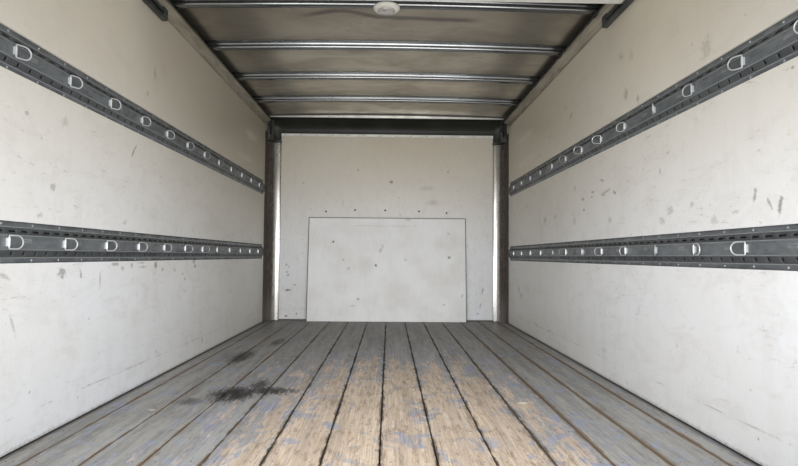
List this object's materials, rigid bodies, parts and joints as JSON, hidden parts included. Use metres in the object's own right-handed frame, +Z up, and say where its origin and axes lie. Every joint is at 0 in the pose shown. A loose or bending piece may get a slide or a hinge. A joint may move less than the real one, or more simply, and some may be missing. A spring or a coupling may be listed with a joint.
{
  "type": "truck cargo body",
  "caption": "Box-shaped cargo body of a light truck with plank floor, panel walls, lashing rails with rings, ribbed roof bows and an open roll-up rear door.",
  "frame": {"origin": "middle of the whole body's box in plan, at the underside of the two long sills", "axes": "+X to the right when looking forward, +Y forward towards the closed front wall, +Z up; the open doorway faces -Y"},
  "size_m": [2.42, 5.003, 2.203],
  "materials": {
    "frame_steel": "black painted steel, satin",
    "mill_aluminium": "satin extrusion",
    "rail_aluminium": "dull extrusion with a greyish cream film",
    "white_panel": "off-white reinforced plastic skin with a faint vertical weave",
    "corner_metal": "bright rolled metal with scratches",
    "dark_steel": "dark grey galvanised or painted steel",
    "white_paint": "white gloss paint on steel",
    "galvanised_steel": "weathered zinc coating, blue-grey",
    "bright_zinc": "bright zinc plate",
    "floor_wood": "hardwood with worn grey paint",
    "roof_aluminium": "dull sheet",
    "bow_steel": "galvanised hat sections",
    "lamp_white": "white moulded plastic",
    "nose_metal": "rolled sheet, painted outside",
    "board_white": "plywood painted white",
    "door_white": "plywood with a white skin",
    "red_lens": "moulded red lens",
    "amber_lens": "moulded amber lens"
  },
  "bodies": {
    "cargo_body": {"long_sill_left": "frame_steel", "bottom_rail_left": "mill_aluminium", "side_panel_left": "white_panel", "top_rail_left": "rail_aluminium", "front_corner_left": "corner_metal", "corner_cap_left": "mill_aluminium", "corner_gusset_left": "dark_steel", "rear_post_left": "white_paint", "door_track_left": "dark_steel", "cargo_rail_left_lower": "galvanised_steel", "rail_rings_left_lower": "bright_zinc", "cargo_rail_left_upper": "galvanised_steel", "rail_rings_left_upper": "bright_zinc", "long_sill_right": "frame_steel", "bottom_rail_right": "mill_aluminium", "side_panel_right": "white_panel", "top_rail_right": "rail_aluminium", "front_corner_right": "corner_metal", "corner_cap_right": "mill_aluminium", "corner_gusset_right": "dark_steel", "rear_post_right": "white_paint", "door_track_right": "dark_steel", "cargo_rail_right_lower": "galvanised_steel", "rail_rings_right_lower": "bright_zinc", "cargo_rail_right_upper": "galvanised_steel", "rail_rings_right_upper": "bright_zinc", "crossmembers": "frame_steel", "floor_boards": "floor_wood", "roof_skin": "roof_aluminium", "roof_bows": "bow_steel", "header_bow": "bow_steel", "dome_light": "lamp_white", "front_panel": "white_panel", "front_panel_cap": "rail_aluminium", "front_bottom_rail": "mill_aluminium", "nose_cap": "nose_metal", "bulkhead_board": "board_white", "rear_header": "white_paint", "rear_sill": "dark_steel", "door_panels": "door_white", "door_hinges": "galvanised_steel", "counterbalance": "dark_steel", "shaft_brackets": "galvanised_steel", "tail_lamps": "red_lens", "front_markers": "amber_lens", "rear_markers": "red_lens"},
    "ring_left_lower": {"swing_ring_left_lower": "bright_zinc"},
    "ring_left_upper": {"swing_ring_left_upper": "bright_zinc"},
    "ring_right_lower": {"swing_ring_right_lower": "bright_zinc"},
    "ring_right_upper": {"swing_ring_right_upper": "bright_zinc"}
  },
  "joints": [
    {"name": "ring_left_lower_swing", "type": "hinge", "parent": "cargo_body", "child": "ring_left_lower", "pos_m": [-1.1598, -2.2497, 0.878], "axis": [0, 0, 1], "range_deg": [-154, 26]},
    {"name": "ring_left_upper_swing", "type": "hinge", "parent": "cargo_body", "child": "ring_left_upper", "pos_m": [-1.1598, -2.2497, 1.483], "axis": [0, 0, 1], "range_deg": [-154, 26]},
    {"name": "ring_right_lower_swing", "type": "hinge", "parent": "cargo_body", "child": "ring_right_lower", "pos_m": [1.1598, -2.2497, 0.878], "axis": [0, 0, 1], "range_deg": [-26, 154]},
    {"name": "ring_right_upper_swing", "type": "hinge", "parent": "cargo_body", "child": "ring_right_upper", "pos_m": [1.1598, -2.2497, 1.483], "axis": [0, 0, 1], "range_deg": [-26, 154]}
  ]
}
